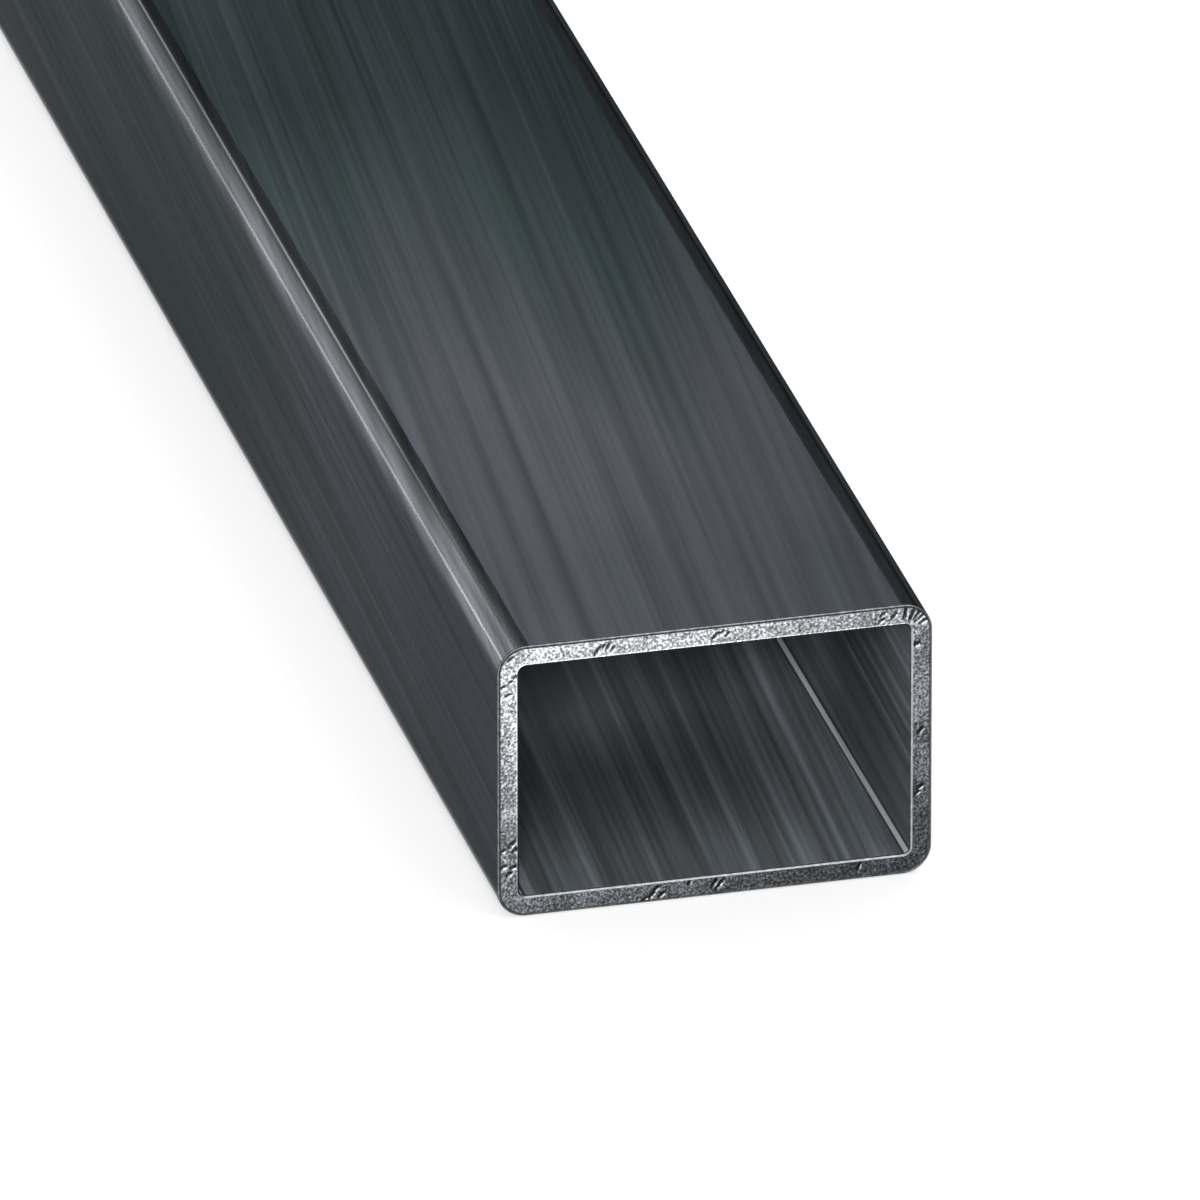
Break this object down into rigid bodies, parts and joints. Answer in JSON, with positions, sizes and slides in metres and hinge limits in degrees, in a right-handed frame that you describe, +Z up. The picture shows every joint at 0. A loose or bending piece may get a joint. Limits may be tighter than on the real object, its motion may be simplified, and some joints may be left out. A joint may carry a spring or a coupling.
{
  "type": "rectangular steel tube",
  "caption": "Straight length of rectangular hollow steel section with rounded bends and open sawn ends, used as stock for framing, brackets and welded work.",
  "frame": {"origin": "middle of the bar's length, under the middle of its wide side, on the plane that it lies on", "axes": "+Y along the bar, +X across its width, +Z up through its height"},
  "size_m": [0.03, 1, 0.02],
  "materials": {
    "mill_steel": "dark mill skin with soft lengthwise streaks, bare torn grain on the sawn ends"
  },
  "bodies": {
    "root": {"rectangular_tube": "mill_steel"}
  },
  "joints": []
}
